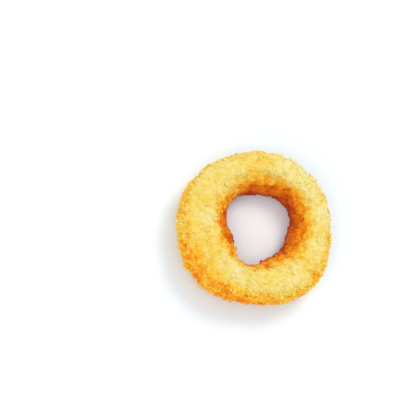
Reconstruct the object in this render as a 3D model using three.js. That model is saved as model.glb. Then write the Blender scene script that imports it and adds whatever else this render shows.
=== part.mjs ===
// A deep-fried onion ring in a coarse crumb coat, lying flat on its lower face.
//
// Millimetres, +Z up. The origin is on the surface that the ring lies on, under the middle of its
// bounding box. The ring is one solid: a band of onion closed all round by batter and crumbs.
//
// The form is a swept section. Seen from above, the plan is two uneven ovals, the outside and the
// hole. Between them stands a wall with a rounded section, which leans into the hole towards its
// foot. Clumps of crumbs raise its surface, and the ring stands on the tallest of them, which are
// pressed flat.

import * as THREE from 'three';

// Driving dimensions, without the clumps and crumbs that stand proud.
const OUTER_RADIUS = 39.8; // mean radius of the outside
const HOLE_RADIUS = 18.5; // mean radius of the hole at half height
const HEIGHT = 20.6; // mean height of the wall
const FOOTING = 0.2; // clumps and crumbs of the lower face are pressed flat beyond this height
const OUTER_SQUARENESS = 2.9; // exponent of the section outside: 2 is an ellipse, higher is squarer
const HOLE_SQUARENESS = 2.4; // the same inside the hole
const HOLE_TAPER = 0.4; // share by which the wall is thinner inwards at its top, and thicker below

// Unevenness round the ring, from an onion that isn't quite round and a coat that isn't quite even:
// waves a turn, size in millimetres and the angle of a crest in degrees. One wave is an offset.
const OUTER_WAVES = [
  { waves: 2, size: 0.8, crest: 34 },
  { waves: 3, size: 0.75, crest: -52 },
  { waves: 4, size: 0.75, crest: 44 },
  { waves: 5, size: 0.35, crest: 14 },
];
const HOLE_WAVES = [
  { waves: 1, size: 3.3, crest: 37 },
  { waves: 2, size: 1.7, crest: 71 },
  { waves: 3, size: 1.3, crest: 23 },
  { waves: 4, size: 0.5, crest: -32 },
  { waves: 5, size: 0.6, crest: 34 },
];
const HEIGHT_WAVES = [
  { waves: 2, size: 0.5, crest: 140 },
  { waves: 5, size: 0.25, crest: 10 },
];

// Clumps of crumbs: rounded mounds round scattered centres, one to each cube of this size.
const CLUMP_SPACING = 4.4;
const CLUMP_HEIGHT = 1.4; // from the creases between the clumps to their tops
const CLUMP_MEAN = 0.7; // mean level of a clump, so that clumps leave the mean sizes as they are
const CRUMB_HEIGHT = 0.6; // from the lowest crumbs of a clump to the highest
const RIM_EXTRA = 0.3; // share by which both stand higher along the rims of the hole
const INNER_SHARE = 0.6; // share of both left on the smoother wall inside the hole

// Corners of the surface grid, about 1.5 mm apart: one to each coarse crumb.
const RING_STEPS = 120;
const SECTION_STEPS = 48;

// The wall's section, as the superellipse |x / a|^n + |z / b|^n = 1, where a and b are half the
// wall's width and height, with the half inside the hole tapered. It starts at the outside and runs
// over the top.
class WallSection extends THREE.Curve {
  constructor(halfWidth, halfHeight) {
    super();
    this.halfWidth = halfWidth;
    this.halfHeight = halfHeight;
  }

  getPoint(t, target = new THREE.Vector2()) {
    target.set(Math.cos(2 * Math.PI * t), Math.sin(2 * Math.PI * t));
    const squareness = target.x > 0 ? OUTER_SQUARENESS : HOLE_SQUARENESS;
    const across = Math.pow(Math.abs(target.x) / this.halfWidth, squareness);
    const up = Math.pow(Math.abs(target.y) / this.halfHeight, squareness);
    target.multiplyScalar(Math.pow(across + up, -1 / squareness));
    if (target.x < 0) target.x *= 1 - (HOLE_TAPER * target.y) / this.halfHeight;
    return target;
  }
}

// Sum of a list of waves at angle u round the ring.
function unevenness(list, u) {
  const wave = ({ waves, size, crest }) =>
    size * Math.cos(waves * (u - THREE.MathUtils.degToRad(crest)));
  return list.reduce((sum, item) => sum + wave(item), 0);
}

// A number from 0 to 1 that looks random, the same each time for the same place and channel.
function scatter(i, j, k, channel) {
  const mixed = Math.sin(i * 127.1 + j * 311.7 + k * 74.7 + channel * 53.3) * 43758.5453;
  return mixed - Math.floor(mixed);
}

// How high the nearest clump stands at a place: 1 at its centre, falling as a parabola to 0.
function clumpLevel(place) {
  const cube = place.clone().divideScalar(CLUMP_SPACING).floor();
  const centre = new THREE.Vector3();
  let nearest = Infinity;
  for (let i = cube.x - 1; i <= cube.x + 1; i++) {
    for (let j = cube.y - 1; j <= cube.y + 1; j++) {
      for (let k = cube.z - 1; k <= cube.z + 1; k++) {
        centre.set(i + scatter(i, j, k, 0), j + scatter(i, j, k, 1), k + scatter(i, j, k, 2));
        centre.multiplyScalar(CLUMP_SPACING);
        nearest = Math.min(nearest, centre.distanceToSquared(place));
      }
    }
  }
  return Math.max(0, 1 - nearest / CLUMP_SPACING ** 2);
}

// The coat is full on the outside and both faces, thickest on the rims of the hole and thin in it.
function coatShare(normal) {
  const inwards = Math.max(0, -normal.x);
  const rim = 2 * inwards * Math.abs(normal.y);
  return 1 + RIM_EXTRA * rim - (1 - INNER_SHARE) * inwards ** 4;
}

// The coated surface at a step round the ring and a step round its section.
function coatPoint(ringStep, sectionStep, section, middleRadius) {
  const u = (ringStep / RING_STEPS) * 2 * Math.PI;
  const outwards = new THREE.Vector3(Math.cos(u), Math.sin(u), 0);
  const point = section.getPointAt(sectionStep / SECTION_STEPS);
  const tangent = section.getTangentAt(sectionStep / SECTION_STEPS);
  const normal = new THREE.Vector2(tangent.y, -tangent.x);

  const coat = outwards.clone().multiplyScalar(middleRadius + point.x);
  coat.z = FOOTING + section.halfHeight + point.y;
  const clump = CLUMP_HEIGHT * (clumpLevel(coat) - CLUMP_MEAN);
  const crumb = CRUMB_HEIGHT * (scatter(ringStep, sectionStep, 0, 3) - 0.5);
  const relief = coatShare(normal) * (clump + crumb);
  coat.addScaledVector(outwards, relief * normal.x);
  coat.z = Math.max(0, coat.z + relief * normal.y);
  return coat;
}

// The ring's surface: a grid of corners that closes on itself both ways. Neighbouring cells are
// split along opposite diagonals, so that the relief has no slant.
function coatedRing() {
  const position = [];
  const index = [];
  const corner = (i, j) => (i % RING_STEPS) * SECTION_STEPS + (j % SECTION_STEPS);
  for (let i = 0; i < RING_STEPS; i++) {
    const u = (i / RING_STEPS) * 2 * Math.PI;
    const outer = OUTER_RADIUS + unevenness(OUTER_WAVES, u);
    const hole = HOLE_RADIUS + unevenness(HOLE_WAVES, u);
    const height = HEIGHT + unevenness(HEIGHT_WAVES, u);
    const section = new WallSection((outer - hole) / 2, height / 2);
    for (let j = 0; j < SECTION_STEPS; j++) {
      position.push(...coatPoint(i, j, section, (outer + hole) / 2));
      const [a, b, c, d] = [corner(i, j), corner(i + 1, j), corner(i + 1, j + 1), corner(i, j + 1)];
      index.push(...((i + j) % 2 ? [a, b, c, a, c, d] : [a, b, d, b, c, d]));
    }
  }
  const geometry = new THREE.BufferGeometry();
  geometry.setAttribute('position', new THREE.Float32BufferAttribute(position, 3));
  geometry.setIndex(index);
  geometry.computeVertexNormals();
  return geometry;
}

// Centres the ring over the origin and leaves it standing on the plane z = 0.
function restOnOrigin(geometry) {
  geometry.computeBoundingBox();
  const middle = geometry.boundingBox.getCenter(new THREE.Vector3());
  return geometry.translate(-middle.x, -middle.y, -geometry.boundingBox.min.z);
}

const friedCrumb = new THREE.MeshStandardMaterial({
  color: 0xf2bd4e,
  roughness: 0.75,
  metalness: 0,
});

const ring = new THREE.Mesh(restOnOrigin(coatedRing()), friedCrumb);
ring.name = 'onion_ring';

const onionRing = new THREE.Group();
onionRing.name = 'crumbed_onion_ring';
onionRing.add(ring);

export default onionRing;
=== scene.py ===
"""Dresses a deep-fried onion ring: its crust, the crumbs that stand out of it, and the studio round it.

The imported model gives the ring's place and size. Everything on the ring is laid on one surface, a
function of two parameters: the angle round the ring and the way round its section. The shape is worked
out in millimetres, and a FrameFit puts it in the frame's metres.
"""

import itertools
import logging
import math
from dataclasses import dataclass, field
from enum import Enum, IntEnum

import bpy
import numpy as np
from mathutils import Matrix, Vector


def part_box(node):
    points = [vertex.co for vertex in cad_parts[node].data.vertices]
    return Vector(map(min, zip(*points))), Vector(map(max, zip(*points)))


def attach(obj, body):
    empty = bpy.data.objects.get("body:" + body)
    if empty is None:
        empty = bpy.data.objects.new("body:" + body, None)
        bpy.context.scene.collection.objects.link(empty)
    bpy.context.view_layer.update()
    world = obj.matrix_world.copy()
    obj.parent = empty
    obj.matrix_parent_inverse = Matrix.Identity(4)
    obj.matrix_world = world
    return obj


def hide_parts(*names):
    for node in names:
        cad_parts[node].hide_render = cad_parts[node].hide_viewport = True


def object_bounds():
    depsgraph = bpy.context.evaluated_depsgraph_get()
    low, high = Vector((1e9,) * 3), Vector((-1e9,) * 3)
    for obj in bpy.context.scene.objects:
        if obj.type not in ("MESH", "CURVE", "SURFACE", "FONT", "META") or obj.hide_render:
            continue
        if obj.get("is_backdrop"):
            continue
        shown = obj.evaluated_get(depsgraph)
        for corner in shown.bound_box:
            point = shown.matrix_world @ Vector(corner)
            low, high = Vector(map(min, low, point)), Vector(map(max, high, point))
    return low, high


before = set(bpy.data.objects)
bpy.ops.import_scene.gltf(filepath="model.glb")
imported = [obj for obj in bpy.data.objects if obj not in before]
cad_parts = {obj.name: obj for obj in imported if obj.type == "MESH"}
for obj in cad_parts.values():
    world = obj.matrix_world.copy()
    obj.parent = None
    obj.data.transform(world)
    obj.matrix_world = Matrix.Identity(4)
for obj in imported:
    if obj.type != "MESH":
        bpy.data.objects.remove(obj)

MM = 0.001
SOLID = "onion_ring"
TINY = 1e-12  # stands in for a length of 0 in a division
MOUND_MEAN = 0.7  # about the mean level of scattered mounds, which relief is measured from
NOISE_MEAN = 0.5  # mean of the noise texture
SCATTER_WEIGHTS = (127.1, 311.7, 74.7, 53.3)  # of no simple ratio, so that no pattern shows
SCATTER_REACH = 43758.5453  # large, so that near places have unlike draws
log = logging.getLogger("onion_ring")


# ---------------------------------------------------------------------------------------------------
# Numbers


class Draws(IntEnum):
    """The first of the three draws that place the mounds of each kind.

    Each further layer of grit takes the next three.
    """

    CLUMP = 0
    PATCH = 11
    GRIT = 20
    FOLD = 31
    LUMP = 41


def scatter(i: np.ndarray, j: np.ndarray, k: np.ndarray, channel: int) -> np.ndarray:
    """Gives numbers from 0 to 1 that look random, the same each time for the same cube and channel.

    The formula is the fraction of a large multiple of the sine of a weighted sum.

    Args:
        i, j, k: whole numbers of the cubes.
        channel: which of several draws for the same cube.

    Returns:
        An array of the shape of i.
    """
    a, b, c, d = SCATTER_WEIGHTS
    mixed = np.sin(i * a + j * b + k * c + channel * d) * SCATTER_REACH
    return mixed - np.floor(mixed)


def mound_level(places: np.ndarray, spacing: float, channel: int) -> np.ndarray:
    """Gives how high the nearest of many scattered mounds stands at each place.

    Space is cut into cubes with one centre in each. The level is 1 less the squared distance to the
    nearest centre over the squared spacing, so it is 1 at a centre and falls as a parabola to 0.

    Args:
        places: points, the last axis holding x, y and z.
        spacing: side of a cube, in the units of the places.
        channel: first of the three draws that place a centre in its cube.

    Returns:
        Levels from 0 to 1, one for each point.
    """
    cube = np.floor(places / spacing)
    nearest = np.full(places.shape[:-1], np.inf)
    for step in itertools.product((-1, 0, 1), repeat=3):
        near = cube + np.array(step)
        i, j, k = near[..., 0], near[..., 1], near[..., 2]
        inside = np.stack([scatter(i, j, k, channel + axis) for axis in range(3)], axis=-1)
        distance = ((near + inside) * spacing - places) / spacing
        nearest = np.minimum(nearest, (distance**2).sum(axis=-1))
    return np.maximum(0.0, 1.0 - nearest)


def smooth_step(low: float, high: float, values: np.ndarray) -> np.ndarray:
    """Rises smoothly from 0 at low to 1 at high, as 3 t squared less 2 t cubed."""
    t = np.clip((values - low) / (high - low), 0.0, 1.0)
    return t * t * (3.0 - 2.0 * t)


def unit(vectors: np.ndarray) -> np.ndarray:
    """Gives the vectors of the last axis at length 1."""
    return vectors / np.maximum(np.linalg.norm(vectors, axis=-1, keepdims=True), TINY)


def grid_normals(places: np.ndarray) -> np.ndarray:
    """Gives the outward normals of a grid that closes on itself both ways.

    The normal is the cross product of the steps to the next corners along each way of the grid.

    Args:
        places: corners, of shape (round the ring, round the section, 3).

    Returns:
        Unit normals of the same shape.
    """
    along = np.roll(places, -1, axis=0) - np.roll(places, 1, axis=0)
    across = np.roll(places, -1, axis=1) - np.roll(places, 1, axis=1)
    return unit(np.cross(along, across))


def ring_angles(around: int) -> np.ndarray:
    """Gives evenly spaced angles round the ring in radians, as a column."""
    return (np.arange(around) / around * 2 * np.pi)[:, None]


# ---------------------------------------------------------------------------------------------------
# Meshes


def write_mesh(
    name: str,
    places: np.ndarray,
    faces: np.ndarray,
    layers: dict[str, np.ndarray],
    smooth: bool,
) -> bpy.types.Object:
    """Makes a mesh object at the origin from arrays.

    Args:
        name: the object's name.
        places: corners in metres, of shape (corners, 3).
        faces: corner numbers, of shape (faces, corners of a face), turning left seen from outside.
        layers: a value for each corner, for each named attribute that the materials read.
        smooth: whether the faces are shaded as one rounded surface.

    Returns:
        The new object, linked to the scene.
    """
    sides = faces.shape[1]
    mesh = bpy.data.meshes.new(name)
    mesh.vertices.add(len(places))
    mesh.vertices.foreach_set("co", places.astype(np.float32).ravel())
    mesh.loops.add(faces.size)
    mesh.loops.foreach_set("vertex_index", faces.astype(np.int32).ravel())
    mesh.polygons.add(len(faces))
    mesh.polygons.foreach_set("loop_start", np.arange(0, faces.size, sides, dtype=np.int32))
    mesh.polygons.foreach_set("use_smooth", np.full(len(faces), smooth))
    for layer, values in layers.items():
        attribute = mesh.attributes.new(layer, "FLOAT", "POINT")
        attribute.data.foreach_set("value", values.astype(np.float32).ravel())
    mesh.update(calc_edges=True)
    mesh.validate()
    piece = bpy.data.objects.new(name, mesh)
    bpy.context.scene.collection.objects.link(piece)
    return piece


# ---------------------------------------------------------------------------------------------------
# The ring's form


@dataclass(frozen=True)
class Wave:
    """One wave of the unevenness round the ring.

    Attributes:
        count: waves in one turn; one is an offset to a side, and two is an oval.
        size: height of the wave, in the unit of what it varies.
        crest: angle of a crest in degrees.
    """

    count: int
    size: float
    crest: float

    def height(self, u: np.ndarray) -> np.ndarray:
        """Gives the wave's height at angles u in radians, as a cosine."""
        return self.size * np.cos(self.count * (u - math.radians(self.crest)))


def varied(mean: float | np.ndarray, waves: tuple[Wave, ...], u: np.ndarray) -> np.ndarray:
    """Gives a value at angles u in radians: its mean with each of its waves added."""
    return mean + sum(wave.height(u) for wave in waves)


@dataclass(frozen=True)
class RingForm:
    """The ring without its crumbs: an uneven round plan swept with a rounded section, in millimetres.

    The section is a superellipse: the shares x / a and z / b, each raised to the power n, add up to 1,
    where a and b are half the wall's width and height. Its half inside the hole is thinner at the top
    and thicker below.

    Attributes:
        outer_radius, outer_waves: mean radius of the outside, and how it varies round the ring.
        hole_radius, hole_waves: the same for the hole.
        height, height_waves: the same for the height of the wall.
        footing: how far the bare wall stands off the ground, on its clumps.
        outer_squareness, hole_squareness: the power n of the section's outer and inner half.
        hole_taper: share by which the inner half is thinner at the top and thicker at the foot.
        steps: steps in which the section is measured, for each of its points.
    """

    outer_radius: float = 39.8
    outer_waves: tuple[Wave, ...] = (
        Wave(2, 0.8, 34),
        Wave(3, 0.75, -52),
        Wave(4, 0.75, 44),
        Wave(5, 0.35, 14),
    )
    hole_radius: float = 18.5
    hole_waves: tuple[Wave, ...] = (
        Wave(1, 3.3, 37),
        Wave(2, 1.7, 71),
        Wave(3, 1.3, 23),
        Wave(4, 0.5, -32),
        Wave(5, 0.6, 34),
    )
    height: float = 20.6
    height_waves: tuple[Wave, ...] = (Wave(2, 0.5, 140), Wave(5, 0.25, 10))
    footing: float = 0.2
    outer_squareness: float = 2.9
    hole_squareness: float = 2.4
    hole_taper: float = 0.4
    steps: int = 40

    def section(self, half_width: np.ndarray, half_height: np.ndarray, turn: np.ndarray) -> np.ndarray:
        """Gives points of the section, from the outside over the top.

        Args:
            half_width, half_height: a and b of the superellipse.
            turn: share of a turn about the section's middle.

        Returns:
            x outwards and z upwards from the section's middle, on a new last axis.
        """
        x, z = np.cos(2 * np.pi * turn), np.sin(2 * np.pi * turn)
        n = np.where(x > 0, self.outer_squareness, self.hole_squareness)
        reach = ((np.abs(x) / half_width) ** n + (np.abs(z) / half_height) ** n) ** (-1 / n)
        x, z = x * reach, z * reach
        return np.stack([np.where(x < 0, x * (1 - self.hole_taper * z / half_height), x), z], axis=-1)

    def even_turns(self, count: int) -> np.ndarray:
        """Spaces points evenly along the mean section.

        Args:
            count: number of points.

        Returns:
            Their turns about the section's middle, from 0 to 1.
        """
        turns = np.linspace(0.0, 1.0, self.steps * count + 1)
        half_width = (self.outer_radius - self.hole_radius) / 2
        points = self.section(half_width, self.height / 2, turns)
        steps = np.linalg.norm(np.diff(points, axis=0), axis=1)
        length = np.concatenate([[0.0], np.cumsum(steps)])
        return np.interp(np.arange(count) / count * length[-1], length, turns)

    def surface(self, around: int, across: int) -> np.ndarray:
        """Gives the bare surface as a grid.

        A corner lies at the middle radius plus the section's x, along the angle's direction, and at
        half the wall's height plus the section's z.

        Args:
            around: corners round the ring.
            across: corners round the section.

        Returns:
            Corners of shape (around, across, 3), with z = 0 where the ring lies.
        """
        u = ring_angles(around)
        outer = varied(self.outer_radius, self.outer_waves, u)
        hole = varied(self.hole_radius, self.hole_waves, u)
        half_height = varied(self.height, self.height_waves, u) / 2
        point = self.section((outer - hole) / 2, half_height, self.even_turns(across)[None, :])
        radius = (outer + hole) / 2 + point[..., 0]
        z = self.footing + half_height + point[..., 1]
        return np.stack([radius * np.cos(u), radius * np.sin(u), z], axis=-1)


@dataclass(frozen=True)
class FrameFit:
    """Puts the form, worked out in millimetres, in the box that the frame gives the solid.

    Attributes:
        scale: metres for each millimetre of the form, along x, y and z.
        offset: where the form's origin lies, in metres.
    """

    scale: np.ndarray
    offset: np.ndarray

    @classmethod
    def to_solid(cls, places: np.ndarray, node: str) -> "FrameFit":
        """Fits the box of a grid of places to the box of a CAD node.

        Args:
            places: corners of shape (round the ring, round the section, 3), in millimetres.
            node: the node's name.

        Returns:
            The fit that takes the one box to the other.
        """
        low, high = (np.array(corner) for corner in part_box(node))
        form_low, form_high = places.min(axis=(0, 1)), places.max(axis=(0, 1))
        scale = (high - low) / (form_high - form_low)
        return cls(scale, low - form_low * scale)

    def place(self, places: np.ndarray) -> np.ndarray:
        """Puts points of the form in the frame, and none of them under the ground.

        Args:
            places: points in millimetres, the last axis holding x, y and z.

        Returns:
            The points in metres.
        """
        placed = places * self.scale + self.offset
        placed[..., 2] = np.maximum(placed[..., 2], 0.0)
        return placed


# ---------------------------------------------------------------------------------------------------
# The coat


@dataclass(frozen=True)
class Mark:
    """A place that the frying left browner or paler than the rest.

    Attributes:
        angle: its place round the ring, in degrees.
        turn: its place round the section by the way the surface faces, in degrees: 0 is outwards, 90
            upwards and 180 into the hole.
        size: its radius in millimetres.
        brown: the browning that it adds at its middle, less than 0 where it is paler.
    """

    angle: float
    turn: float
    size: float
    brown: float

    def level(self, u: np.ndarray, turn: np.ndarray, places: np.ndarray) -> np.ndarray:
        """Gives the browning that it adds at each corner, which falls off as a bell round its middle.

        Args:
            u: angles round the ring, in radians.
            turn: the way the surface faces, in degrees.
            places: corners of the coat, in millimetres.

        Returns:
            A value for each corner.
        """
        half_turn = 180
        aside = half_turn - np.abs(np.abs(np.degrees(u) - self.angle) - half_turn)
        middle = places[np.unravel_index((aside**2 + (turn - self.turn) ** 2).argmin(), turn.shape)]
        distance = np.linalg.norm(places - middle, axis=-1)
        return self.brown * np.exp(-((distance / self.size) ** 2))


@dataclass(frozen=True)
class Browning:
    """How brown the coat is, from 0 on the palest crumbs to 1 deep in the hole.

    Attributes:
        face, face_waves: mean browning of the flat faces, and how it varies round the ring.
        outside, outside_waves: the same for the outside.
        climb, climb_waves: lean outwards at which the outside's browning starts on its way down from
            the face, in degrees, and how that varies.
        climb_width, climb_end: over how many degrees of lean it rises to the full, and the lean at
            which it is full everywhere.
        under: downward share of the normals from which on the underside is as brown as the outside.
        under_shift: how many degrees of lean further the hole's browning reaches on the underside.
        hole: browning that the wall inside the hole adds to the face's.
        edge, edge_waves: lean inwards at which the hole's browning starts, and how that varies.
        full, full_waves: the same for the lean at which it is complete.
        patch, patch_size: swing of the wide uneven patches and their size in millimetres.
        marks: single browner and paler places.
        crease: browning of the creases between the clumps.
        per_mm, reach: how much paler each millimetre makes what stands proud, and the height in
            millimetres at which that levels off.
        tone: how much single crumbs differ.
        gap_shade_reach: painted shade in the gaps: the height in millimetres above the coat at which it
        starts, and the depth below the coat at which it is full.
    """

    face: float = 0.16
    face_waves: tuple[Wave, ...] = (Wave(1, 0.02, 197), Wave(2, 0.06, 116), Wave(3, 0.028, 82))
    outside: float = 0.48
    outside_waves: tuple[Wave, ...] = (Wave(1, 0.043, 259), Wave(2, 0.059, 80), Wave(3, 0.013, 18))
    climb: float = 15.0
    climb_waves: tuple[Wave, ...] = (Wave(1, 28, 67), Wave(2, 13, 98), Wave(3, 8, 25))
    climb_width: float = 65.0
    climb_end: float = 88.0
    under: float = 0.6
    under_shift: float = 45.0
    hole: float = 0.86
    edge: float = 21.0
    edge_waves: tuple[Wave, ...] = (Wave(1, 9.3, 83), Wave(2, 15.2, 90), Wave(3, 9.3, 28))
    full: float = 82.0
    full_waves: tuple[Wave, ...] = (Wave(2, 8, 105),)
    patch: float = 0.24
    patch_size: float = 15.0
    marks: tuple[Mark, ...] = (
        Mark(207, 18, 3.0, 0.18),
        Mark(219, 2, 3.0, 0.2),
        Mark(226, 44, 3.0, -0.18),
        Mark(245, 49, 3.0, 0.15),
        Mark(258, 0, 3.0, 0.2),
        Mark(269, 41, 3.0, -0.2),
        Mark(66, 152, 3.5, 0.25),
        Mark(181, 134, 3.5, 0.22),
        Mark(278, 145, 2.2, 0.2),
        Mark(333, 134, 3.5, -0.22),
        Mark(345, 148, 3.0, -0.12),
        Mark(347, 65, 3.0, -0.12),
        Mark(2, 35, 5.5, -0.1),
        Mark(3, 132, 5.0, 0.07),
        Mark(92, 160, 7.0, -0.07),
        Mark(137, 28, 9.0, -0.1),
        Mark(314, 160, 7.0, -0.09),
    )
    crease: float = 0.27
    per_mm: float = 0.2
    reach: float = 0.6
    tone: float = 0.06
    # How far round the coat's level the painted shade in the gaps fades in.
    gap_shade_reach: float = 0.35

    def base(
        self,
        u: np.ndarray,
        outwards: np.ndarray,
        upwards: np.ndarray,
        places: np.ndarray,
        level: np.ndarray,
    ) -> np.ndarray:
        """Gives the browning of the bare coat.

        The outside's browning rises smoothly with the lean of the normals outwards, and the hole's
        with their lean inwards. The lean is the arc sine of the outward share. The underside is as
        brown as the outside, and the hole's browning reaches further round on it.

        Args:
            u: angles round the ring, in radians.
            outwards, upwards: shares of the normals, outwards being less than 0 inside the hole.
            places: corners of the coat, in millimetres.
            level: level of the clumps, less that of the folds, whose crests are browner.

        Returns:
            A value for each corner.
        """
        lean = np.degrees(np.arcsin(np.clip(outwards, -1.0, 1.0)))
        under = smooth_step(0.0, self.under, -upwards)
        face = varied(self.face, self.face_waves, u)
        climb = varied(self.climb, self.climb_waves, u)
        climbed = np.minimum(climb + self.climb_width, self.climb_end)
        outside = varied(self.outside - face, self.outside_waves, u)
        outside = outside * np.maximum(smooth_step(climb, climbed, lean), under)
        edge = varied(self.edge, self.edge_waves, u)
        full = varied(self.full, self.full_waves, u)
        inside = self.hole * smooth_step(edge, full, self.under_shift * under - lean)
        patches = self.patch * (mound_level(places, self.patch_size, Draws.PATCH) - MOUND_MEAN)
        turn = np.degrees(np.arctan2(upwards, outwards))
        marks = sum(mark.level(u, turn, places) for mark in self.marks)
        even = face + outside + inside + patches + marks
        return even + self.swing(even) * self.crease * (MOUND_MEAN - level)

    @staticmethod
    def swing(brown: np.ndarray) -> np.ndarray:
        """Gives how much a browning varies: 4 times it times its distance from 1, so 1 half way up."""
        brown = np.clip(brown, 0.0, 1.0)
        return 4 * brown * (1 - brown)

    def at(self, base: np.ndarray, height: np.ndarray, draw: np.ndarray | float = 0.0) -> np.ndarray:
        """Gives the browning of a point of a crumb: tips are paler than gaps, and crumbs differ.

        Args:
            base: browning of the coat under it.
            height: how far it stands above the coat, in millimetres.
            draw: the crumb's own draw, with a mean of 0 and a spread of 1.

        Returns:
            The base less the height and plus the draw, both weighted by the swing. The height levels
            off at the reach.
        """
        height = self.reach * np.tanh(height / self.reach)
        return base + self.swing(base) * (self.tone * draw - self.per_mm * height)

    def gap_shade(self, height: np.ndarray) -> np.ndarray:
        """Gives the share of painted shade at a height above the coat, from 0 on tips to 1 in gaps."""
        return smooth_step(self.gap_shade_reach, -self.gap_shade_reach, height)


@dataclass
class Coat:
    """The fried coat: a crust with mounds where crumbs clump, and how brown it is all over.

    Attributes:
        form: the ring under the coat.
        browning: how brown it is.
        around, across: corners of the crust's grid round the ring and round its section.
        clumps: spacing and height in millimetres of the mounds that the solid has too.
        lumps: the same for the wider unevenness that shows in the outline.
        grit: the same for each finer layer of relief.
        sunk: how far in millimetres the crust lies under the solid's surface, which the crumbs reach.
        outside_sunk: how much further it lies on the outside, where the crumbs stand prouder.
        outside_from: outward shares of the normals where the outside starts and is complete.
        rim_extra: share by which the relief stands higher along the rims of the hole.
        inner_share: share of the relief left on the wall inside the hole.
        folds, fold_height: length and width in millimetres of the low folds that run along the wall
            inside the hole, and their height.
        fold_from: inward shares of the normals where the folds start and are full.
        bare_normals, inwards, outside: worked out for each corner of the grid: the bare form's normal,
            its inward share, and how far the corner counts as on the outside, from 0 to 1.
        fit: worked out too: what puts the coat in the frame.
        places, normals, base: worked out for each corner of the grid: its place and normal with the
            relief down to the clumps, and its browning.
    """

    form: RingForm = field(default_factory=RingForm)
    browning: Browning = field(default_factory=Browning)
    around: int = 524
    across: int = 188
    clumps: tuple[float, float] = (4.4, 1.4)
    lumps: tuple[float, float] = (5.5, 1.15)
    grit: tuple[tuple[float, float], ...] = ((2.2, 0.6), (1.2, 0.25))
    sunk: float = 0.38
    outside_sunk: float = 0.25
    outside_from: tuple[float, float] = (0.2, 0.8)
    rim_extra: float = 0.3
    inner_share: float = 0.6
    folds: tuple[float, float] = (7.0, 1.6)
    fold_height: float = 0.45
    fold_from: tuple[float, float] = (0.5, 0.85)
    bare_normals: np.ndarray = field(init=False)
    inwards: np.ndarray = field(init=False)
    outside: np.ndarray = field(init=False)
    fit: FrameFit = field(init=False)
    places: np.ndarray = field(init=False)
    normals: np.ndarray = field(init=False)
    base: np.ndarray = field(init=False)

    def __post_init__(self) -> None:
        """Works out the surface, its normals and its browning."""
        u = ring_angles(self.around)
        bare = self.form.surface(self.around, self.across)
        self.bare_normals = grid_normals(bare)
        upwards = self.bare_normals[..., 2]
        outwards = self.bare_normals[..., 0] * np.cos(u) + self.bare_normals[..., 1] * np.sin(u)
        self.inwards = np.maximum(0.0, -outwards)
        self.outside = smooth_step(*self.outside_from, outwards)
        spacing, height = self.clumps
        level = mound_level(bare, spacing, Draws.CLUMP)
        clump = height * (level - MOUND_MEAN) * self.share()
        self.fit = FrameFit.to_solid(bare + self.bare_normals * clump[..., None], SOLID)
        lump = self.mounds(bare, self.lumps, Draws.LUMP) * self.share()
        fold = self.fold_level(bare)
        sunk = self.sunk + self.outside_sunk * self.outside
        relief = clump + lump + self.fold_height * fold - sunk
        self.places = bare + self.bare_normals * relief[..., None]
        self.normals = grid_normals(self.places)
        self.base = self.browning.base(u, outwards, upwards, self.places, level - fold)

    def share(self) -> np.ndarray:
        """Gives how thick the relief is: full, more along the rims of the hole and less inside it.

        A rim is where the inward and the vertical share of the normals have their greatest product, a
        half. The wall inside the hole counts by the fourth power of the inward share.

        Returns:
            A share for each corner of the grid.
        """
        rim = 2 * self.inwards * np.abs(self.bare_normals[..., 2])
        return 1 + self.rim_extra * rim - (1 - self.inner_share) * self.inwards**4

    def fold_level(self, bare: np.ndarray) -> np.ndarray:
        """Gives how far the folds inside the hole stand above their mean level.

        Args:
            bare: corners of the bare form, in millimetres.

        Returns:
            A share of the folds' height for each corner.
        """
        long, wide = self.folds
        level = mound_level(bare / (long, long, wide), 1.0, Draws.FOLD)
        return (level - MOUND_MEAN) * smooth_step(*self.fold_from, self.inwards)

    @staticmethod
    def mounds(places: np.ndarray, layer: tuple[float, float], channel: int) -> np.ndarray:
        """Gives how far one layer of mounds stands above its mean, in millimetres.

        Args:
            places: corners among which the mounds are scattered, in millimetres.
            layer: spacing and height of the mounds, in millimetres.
            channel: first of their draws.

        Returns:
            A height for each corner.
        """
        spacing, height = layer
        return height * (mound_level(places, spacing, channel) - MOUND_MEAN)

    def crust(self) -> bpy.types.Object:
        """Makes the crust: the coat's grid with finer mounds, spaced like crumbs set in batter.

        Returns:
            The crust's object, without a material.
        """
        layers = (self.mounds(self.places, grit, Draws.GRIT + 3 * i) for i, grit in enumerate(self.grit))
        relief = self.share() * sum(layers)
        places = self.places + self.normals * relief[..., None]
        corner = np.arange(self.around * self.across).reshape(self.around, self.across)
        ahead, up = np.roll(corner, -1, axis=0), np.roll(corner, -1, axis=1)
        diagonal = np.roll(ahead, -1, axis=1)
        faces = np.stack([corner, ahead, diagonal, up], axis=-1).reshape(-1, 4)
        # Besides the browning, each corner carries the share of painted shade that darkens low places.
        values = {"browning": self.browning.at(self.base, relief), "gap_shade": self.browning.gap_shade(relief)}
        return write_mesh("crust", self.fit.place(places).reshape(-1, 3), faces, values, smooth=True)


class CrumbGrade(Enum):
    """The grades of crumb in the coat, coarsest first."""

    COARSE = "coarse"
    MEDIUM = "medium"
    FINE = "fine"


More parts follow.
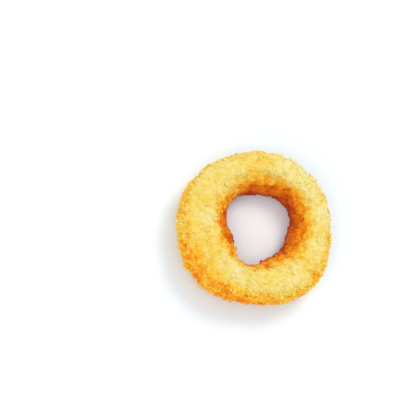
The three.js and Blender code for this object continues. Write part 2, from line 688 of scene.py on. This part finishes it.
@dataclass(frozen=True)
class Crumbs:
    """Crumbs of one grade, joined into one piece. Each is a small uneven lump with 20 faces.

    Attributes:
        grade: which grade this is.
        spacing: about how far apart they lie, in millimetres.
        size: least and greatest length of a crumb, in millimetres, before it shrinks.
        sunk: how far a crumb's middle lies under the crust, as a share of half its thickness.
        inner_keep: share of them left on the wall inside the hole.
        seed: start of the random draws.
        sunk_spread: how much sunk differs from crumb to crumb, so that some stand well out.
        outside_rise: how much less sunk is on the outside.
        inner_from: inward shares of the normals where they start to thin out and have thinned out.
        jitter: how far a crumb is moved off its place in a row, as a share of the spacing.
        shrink: least and greatest factor by which a crumb shrinks.
        breadth, thickness: least and greatest, as shares of the length.
        uneven: how far a corner moves in and out, as shares of its distance from the middle.
        tilt: how far crumbs lean from lying flat: the spread that is added to a normal of length 1.
    """

    grade: CrumbGrade
    spacing: float
    size: tuple[float, float]
    sunk: float
    inner_keep: float
    seed: int
    sunk_spread: float = 0.3
    outside_rise: float = 0.45
    inner_from: tuple[float, float] = (0.6, 1.0)
    jitter: float = 0.45
    shrink: tuple[float, float] = (0.8, 1.0)
    breadth: tuple[float, float] = (0.6, 0.95)
    thickness: tuple[float, float] = (0.6, 1.0)
    uneven: tuple[float, float] = (0.6, 1.3)
    tilt: float = 0.5

    @staticmethod
    def lump() -> tuple[np.ndarray, np.ndarray]:
        """Gives the corners and faces of a regular lump with 12 corners and 20 faces.

        The corners are those of three golden rectangles at right angles to each other.

        Returns:
            Corners at distance 1 from the middle, and faces as corner numbers.
        """
        golden = (1 + math.sqrt(5)) / 2
        pairs = [(a, b * golden) for a in (-1, 1) for b in (-1, 1)]
        corners = [(0, a, b) for a, b in pairs]
        corners += [(a, b, 0) for a, b in pairs]
        corners += [(b, 0, a) for a, b in pairs]
        corners = unit(np.array(corners, dtype=float))
        longest_edge = 1.1  # an edge is 1.05 long, and corners that share none are 1.7 apart or more
        near = np.linalg.norm(corners[:, None] - corners[None], axis=-1) < longest_edge
        triples = itertools.combinations(range(len(corners)), 3)
        faces = np.array([(a, b, c) for a, b, c in triples if near[a, b] and near[b, c] and near[a, c]])
        first, second, third = (corners[faces[:, side]] for side in range(3))
        inside_out = (np.cross(second - first, third - first) * first).sum(axis=1) < 0
        faces[inside_out] = faces[inside_out][:, ::-1]
        return corners, faces

    def choose(self, coat: Coat, draw: np.random.Generator) -> tuple[np.ndarray, np.ndarray]:
        """Chooses corners of the coat's grid, spread evenly but not in line.

        The crumbs lie in rows round the ring, as far apart as rows of touching circles. A row has as
        many as its length allows, every other row starts half a step later, and each crumb is moved
        off its place at random, both ways.

        Args:
            coat: the coat that the crumbs lie on.
            draw: source of random numbers.

        Returns:
            The chosen places' numbers round the ring and round the section.
        """
        section = coat.places[0]
        length = np.linalg.norm(section - np.roll(section, 1, axis=0), axis=1).sum()
        rows = round(length / (math.sqrt(3) / 2 * self.spacing))
        radius = np.hypot(coat.places[..., 0], coat.places[..., 1]).mean(axis=0)
        radius = radius[np.arange(rows) * coat.across // rows]
        counts = np.round(2 * np.pi * radius / self.spacing).astype(int)
        row = np.repeat(np.arange(rows), counts)
        step = np.arange(len(row)) - np.repeat(np.cumsum(counts) - counts, counts)
        moved = self.jitter * draw.uniform(-1.0, 1.0, (2, len(row)))
        i = ((step + 0.5 * (row % 2) + moved[0]) / counts[row] * coat.around).astype(int) % coat.around
        j = ((row + moved[1]) / rows * coat.across).astype(int) % coat.across
        keep = 1 - (1 - self.inner_keep) * smooth_step(*self.inner_from, coat.inwards[i, j])
        kept = draw.random(len(i)) < keep
        return i[kept], j[kept]

    def build(self, coat: Coat) -> bpy.types.Object:
        """Makes the crumbs of this grade.

        Each is the lump with its corners moved in and out at random, stretched along one way and
        flattened along another, turned flat on the coat with a tilt, and sunk into it.

        Args:
            coat: the coat that the crumbs lie on.

        Returns:
            One object that holds them all, without a material.
        """
        draw = np.random.default_rng(self.seed)
        i, j = self.choose(coat, draw)
        count = len(i)
        corners, faces = self.lump()
        length = draw.uniform(*self.size, count) * draw.uniform(*self.shrink, count)
        breadth = draw.uniform(*self.breadth, count)
        thickness = draw.uniform(*self.thickness, count)
        half = 0.5 * length[:, None] * np.stack([np.ones(count), breadth, thickness], axis=1)
        uneven = draw.uniform(*self.uneven, (count, len(corners), 1))
        shape = corners[None] * uneven * half[:, None, :]

        up = unit(coat.normals[i, j] + self.tilt * draw.normal(size=(count, 3)))
        side = unit(np.cross(up, draw.normal(size=(count, 3))))
        axes = np.stack([side, np.cross(up, side), up], axis=1)
        sunk = self.sunk - self.outside_rise * coat.outside[i, j][:, None]
        sunk = (sunk + self.sunk_spread * draw.normal(size=(count, 1))) * half[:, 2:3]
        middle = coat.places[i, j] - coat.normals[i, j] * sunk
        places = middle[:, None] + shape @ axes

        height = ((places - coat.places[i, j][:, None]) * coat.normals[i, j][:, None]).sum(axis=-1)
        browning = coat.browning.at(coat.base[i, j][:, None], height, draw.normal(size=(count, 1)))
        faces = (faces[None] + len(corners) * np.arange(count)[:, None, None]).reshape(-1, 3)
        # Besides the browning, each corner carries the share of painted shade that darkens a crumb low
        # down, next to the coat.
        values = {"browning": browning, "gap_shade": coat.browning.gap_shade(height)}
        placed = coat.fit.place(places.reshape(-1, 3))
        return write_mesh(f"{self.grade.value}_crumbs", placed, faces, values, smooth=False)


# ---------------------------------------------------------------------------------------------------
# Finishes


def linear(hex_colour: str) -> tuple[float, float, float, float]:
    """Turns an sRGB hex value into a linear colour with full alpha, by the sRGB standard's formula."""
    parts = (int(hex_colour[start : start + 2], 16) / 255 for start in (0, 2, 4))
    return (*(c / 12.92 if c <= 0.04045 else ((c + 0.055) / 1.055) ** 2.4 for c in parts), 1.0)


def add_node(
    tree: bpy.types.NodeTree,
    kind: str,
    settings: dict | None = None,
    **inputs: object,
) -> bpy.types.Node:
    """Adds a node with its settings and links.

    Args:
        tree: the node tree.
        kind: the node's type name.
        settings: properties of the node.
        inputs: for each input, with underscores for spaces or _0, _1 for a number, a value or the
            output socket that it is linked from.

    Returns:
        The new node.
    """
    node = tree.nodes.new(kind)
    for name, value in (settings or {}).items():
        setattr(node, name, value)
    for name, value in inputs.items():
        key = int(name[1:]) if name[1:].isdigit() else name.replace("_", " ")
        socket = node.inputs[key]
        if isinstance(value, bpy.types.NodeSocket):
            tree.links.new(value, socket)
        else:
            socket.default_value = value
    return node


@dataclass(frozen=True)
class FriedFinish:
    """Flour batter or wheat breadcrumb, deep-fried: rough, with little shine and a little translucent.

    Light sinks into it and comes out warmer, so it looks soft and the gaps between the crumbs glow.
    Frying browns it from cream through gold and amber to a deep orange brown.

    Attributes:
        name: the material's name.
        glow: share of the light that goes into it, and the depth in millimetres for red light.
        roughness, shine: roughness, and how strong the reflection is beside a smooth solid's.
        stops: places on the browning scale and their sRGB colours.
        glow_reach: how deep red, green and blue light go, as shares of the depth for red light.
        speck_size, speck_reach: size in millimetres of the specks of colour and how far they move it.
        gap_shade_depth: share by which the painted shade makes gaps darker than tips.
        grain_size, grain_height: size and height in millimetres of the dry surface's fine grain.
    """

    name: str
    glow: tuple[float, float]
    roughness: float
    shine: float
    stops: tuple[tuple[float, str], ...] = (
        (0.0, "EADB98"),
        (0.2, "EBD06C"),
        (0.4, "F3C33C"),
        (0.6, "F59E17"),
        (0.8, "E07206"),
        (1.0, "B23602"),
    )
    glow_reach: tuple[float, float, float] = (1.0, 0.5, 0.18)
    speck_size: float = 6.0
    speck_reach: float = 0.16
    # Strength of the painted shade in the gaps and the painted light on the tips.
    gap_shade_depth: float = 0.1
    grain_size: float = 0.35
    grain_height: float = 0.03

    def colour(self, tree: bpy.types.NodeTree, place: bpy.types.NodeSocket) -> bpy.types.NodeSocket:
        """Adds the nodes that choose the colour: browning and specks, then painted shade in the gaps and
        painted light on the tips.

        Args:
            tree: the material's node tree.
            place: the place on the object.

        Returns:
            The output that holds the colour.
        """
        browning = add_node(tree, "ShaderNodeAttribute", {"attribute_name": "browning"}).outputs["Fac"]
        # The share of painted shade that each corner carries.
        gap_shade = add_node(tree, "ShaderNodeAttribute", {"attribute_name": "gap_shade"}).outputs["Fac"]
        speck = add_node(
            tree,
            "ShaderNodeTexNoise",
            Vector=place,
            Scale=1 / (self.speck_size * MM),
            Detail=3.0,
            Roughness=0.6,
        )
        centred = add_node(
            tree,
            "ShaderNodeMath",
            {"operation": "SUBTRACT"},
            _0=speck.outputs["Fac"],
            _1=NOISE_MEAN,
        )
        level = add_node(
            tree,
            "ShaderNodeMath",
            {"operation": "MULTIPLY_ADD"},
            _0=centred.outputs[0],
            _1=2 * self.speck_reach,
            _2=browning,
        )
        ramp = add_node(tree, "ShaderNodeValToRGB", Fac=level.outputs[0])
        while len(ramp.color_ramp.elements) < len(self.stops):
            ramp.color_ramp.elements.new(0.5)
        for element, (position, colour) in zip(ramp.color_ramp.elements, self.stops):
            element.position = position
            element.color = linear(colour)
        # Painted shade and painted light: half shaded places keep the ramp's colour, so tips are painted
        # lighter by as much as gaps are painted darker.
        light = add_node(
            tree,
            "ShaderNodeMath",
            {"operation": "MULTIPLY_ADD"},
            _0=gap_shade,
            _1=-self.gap_shade_depth,
            _2=1 + 0.5 * self.gap_shade_depth,
        )
        scaled = add_node(
            tree,
            "ShaderNodeVectorMath",
            {"operation": "SCALE"},
            _0=ramp.outputs["Color"],
            Scale=light.outputs[0],
        )
        return scaled.outputs["Vector"]

    def build(self) -> bpy.types.Material:
        """Builds the material: a speckled, browned colour and a fine grain that roughens it.

        Returns:
            The material.
        """
        material = bpy.data.materials.new(self.name)
        material.use_nodes = True
        tree = material.node_tree
        tree.nodes.clear()
        place = add_node(tree, "ShaderNodeTexCoord").outputs["Object"]
        grain = add_node(
            tree,
            "ShaderNodeTexNoise",
            Vector=place,
            Scale=1 / (self.grain_size * MM),
            Detail=2.0,
            Roughness=0.55,
        )
        bump = add_node(
            tree,
            "ShaderNodeBump",
            Height=grain.outputs["Fac"],
            Distance=self.grain_height * MM,
            Strength=1.0,
        )
        share, depth = self.glow
        shader = add_node(
            tree,
            "ShaderNodeBsdfPrincipled",
            Base_Color=self.colour(tree, place),
            Roughness=self.roughness,
            Specular_IOR_Level=self.shine,
            Normal=bump.outputs["Normal"],
            Subsurface_Weight=share,
            Subsurface_Radius=self.glow_reach,
            Subsurface_Scale=depth * MM,
        )
        add_node(tree, "ShaderNodeOutputMaterial", Surface=shader.outputs[0])
        return material


@dataclass(frozen=True)
class PaperFinish:
    """Matt white background paper: it spreads light evenly and shows only soft shadows.

    Attributes:
        name: the material's name.
        colour: sRGB hex value.
        roughness, shine: roughness, and how strong the reflection is beside a smooth solid's.
    """

    name: str = "matt_paper"
    colour: str = "ECF4FB"
    roughness: float = 0.9
    shine: float = 0.1

    def build(self) -> bpy.types.Material:
        """Builds the material with one plain colour, as the floor is plain.

        Returns:
            The material.
        """
        material = bpy.data.materials.new(self.name)
        material.use_nodes = True
        shader = material.node_tree.nodes["Principled BSDF"]
        shader.inputs["Base Color"].default_value = linear(self.colour)
        shader.inputs["Roughness"].default_value = self.roughness
        shader.inputs["Specular IOR Level"].default_value = self.shine
        return material


# ---------------------------------------------------------------------------------------------------
# The studio


@dataclass(frozen=True)
class RingCamera:
    """The camera, which looks down on the lying ring and leans over from one side.

    Attributes:
        lens: focal length in millimetres.
        tilt: angle in degrees between the ring's axis and the line of sight.
        axis_way: where the ring's axis points in the picture, in degrees up from its right.
        picture: width of the square picture in pixels.
        pixel: what a pixel covers at the ring, in millimetres.
        ring_at: pixel of the ring's middle, from the picture's left and top.
    """

    lens: float = 85.0
    tilt: float = 26.0
    axis_way: float = 45.0
    picture: int = 400
    pixel: float = 0.5
    ring_at: tuple[float, float] = (254.6, 226.2)

    def build(self, target: Vector) -> None:
        """Makes the scene's camera, so that the target shows at the ring's pixel.

        Args:
            target: the ring's middle, in the frame.
        """
        data = bpy.data.cameras.new("camera")
        data.lens = self.lens
        focal = self.lens / data.sensor_width * self.picture
        tilt, way = math.radians(self.tilt), math.radians(self.axis_way)
        aside = -math.sin(tilt)
        back = Vector((aside * math.cos(way), aside * math.sin(way), math.cos(tilt)))
        leaning = Vector((0, 0, 1)).rotation_difference(back).to_matrix()
        across, down = (pixel - self.picture / 2 for pixel in self.ring_at)
        to_ring = Vector((across / focal, -down / focal, -1))
        aiming = to_ring.rotation_difference(Vector((0, 0, -1))).to_matrix()
        camera = bpy.data.objects.new("camera", data)
        place = target + back * (focal * self.pixel * MM)
        camera.matrix_world = Matrix.Translation(place) @ (leaning @ aiming).to_4x4()
        bpy.context.scene.collection.objects.link(camera)
        bpy.context.scene.camera = camera


@dataclass(frozen=True)
class SoftLight:
    """A square soft box that faces the ring.

    Attributes:
        name: the light's name.
        way: direction from the ring to the light.
        distance: metres from the ring.
        width: side of the soft box in metres.
        power: watts.
        colour: sRGB hex value.
    """

    name: str
    way: tuple[float, float, float]
    distance: float
    width: float
    power: float
    colour: str = "FFFFFF"

    def build(self, target: Vector) -> None:
        """Makes the light, turned to the target.

        Args:
            target: the ring's middle, in the frame.
        """
        data = bpy.data.lights.new(self.name, "AREA")
        data.shape = "SQUARE"
        data.size = self.width
        data.energy = self.power
        data.color = linear(self.colour)[:3]
        light = bpy.data.objects.new(self.name, data)
        way = Vector(self.way).normalized()
        light.location = target + way * self.distance
        light.rotation_euler = way.to_track_quat("Z", "Y").to_euler()
        bpy.context.scene.collection.objects.link(light)


@dataclass(frozen=True)
class Studio:
    """A plain pale floor, soft lights and an even white surround.

    Attributes:
        floor_width: side of the floor in metres.
        surround, surround_colour: brightness and sRGB hex value of the white surround.
        lights: the soft boxes.
        camera: the camera.
    """

    floor_width: float = 6.0
    surround: float = 0.78
    surround_colour: str = "F5F9FF"
    lights: tuple[SoftLight, ...] = (
        SoftLight("key", way=(0.45, 0.55, 1.0), distance=0.9, width=0.35, power=2.85, colour="FFFAEF"),
        SoftLight("front", way=(-0.7, -0.7, 1.0), distance=1.0, width=0.6, power=3.5, colour="FFFCF4"),
    )
    camera: RingCamera = field(default_factory=RingCamera)

    def build(self, target: Vector) -> None:
        """Makes the floor, the surround, and the lights and the camera aimed at the target.

        Args:
            target: the ring's middle, in the frame.
        """
        self.camera.build(target)
        for light in self.lights:
            light.build(target)
        half = self.floor_width / 2
        corners = np.array([(-half, -half, 0), (half, -half, 0), (half, half, 0), (-half, half, 0)])
        floor = write_mesh("floor", corners, np.array([[0, 1, 2, 3]]), {}, smooth=False)
        floor.data.materials.append(PaperFinish().build())
        floor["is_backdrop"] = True
        world = bpy.data.worlds.new("surround")
        world.use_nodes = True
        background = world.node_tree.nodes["Background"]
        background.inputs["Color"].default_value = linear(self.surround_colour)
        background.inputs["Strength"].default_value = self.surround
        bpy.context.scene.world = world
        bpy.context.scene.view_settings.view_transform = "Standard"


# ---------------------------------------------------------------------------------------------------
# The whole


@dataclass
class OnionRing:
    """The ring: its crust and the crumbs that stand out of it.

    Attributes:
        coat: the coat that they make up.
        crumbs: the grades of crumb, coarsest first.
        batter: the crust's finish.
        crumb: the crumbs' finish.
    """

    coat: Coat = field(default_factory=Coat)
    crumbs: tuple[Crumbs, ...] = (
        Crumbs(CrumbGrade.COARSE, spacing=4.5, size=(2.0, 2.8), sunk=0.2, inner_keep=0.08, seed=3),
        Crumbs(
            CrumbGrade.MEDIUM,
            spacing=1.6,
            size=(1.5, 2.2),
            sunk=0.42,
            inner_keep=0.15,
            seed=5,
            breadth=(0.7, 1.0),
            thickness=(0.5, 0.8),
        ),
        Crumbs(CrumbGrade.FINE, spacing=1.5, size=(0.7, 1.1), sunk=0.3, inner_keep=0.25, seed=8),
    )
    # Smooth fried flour between the crumbs: it lets light in deeper and shines a little more. Its colours
    # are a little darker than the crumbs' at each browning: painted shade for the gaps between the crumbs
    # and for the wall inside the hole, where the batter shows most.
    batter: FriedFinish = FriedFinish(
        "fried_batter",
        glow=(0.4, 0.9),
        roughness=0.5,
        shine=0.12,
        stops=(
            (0.0, "EADB98"),
            (0.2, "EBCE6A"),
            (0.4, "EFBE3A"),
            (0.6, "EE9817"),
            (0.8, "D86E06"),
            (1.0, "AE3402"),
        ),
    )
    # Dry, porous crumbs of fried bread: rougher, and too small to let light in far.
    crumb: FriedFinish = FriedFinish("fried_breadcrumb", glow=(0.4, 0.5), roughness=0.7, shine=0.1)

    def build(self) -> None:
        """Makes the crust and each grade of crumb, and hangs them on the frame."""
        crust = self.coat.crust()
        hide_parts(SOLID)
        crust.data.materials.append(self.batter.build())
        grades = [crumbs.build(self.coat) for crumbs in self.crumbs]
        breadcrumb = self.crumb.build()
        for grade in grades:
            grade.data.materials.append(breadcrumb)
        for piece in (crust, *grades):
            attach(piece, "root")
            log.info("%s: %d faces", piece.name, len(piece.data.polygons))


def main() -> None:
    """Builds the ring and the studio."""
    logging.basicConfig(level=logging.INFO, format="%(message)s")
    solid_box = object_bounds()
    low, high = solid_box
    Studio().build((Vector(low) + Vector(high)) / 2)
    OnionRing().build()


if __name__ == "__main__":
    main()
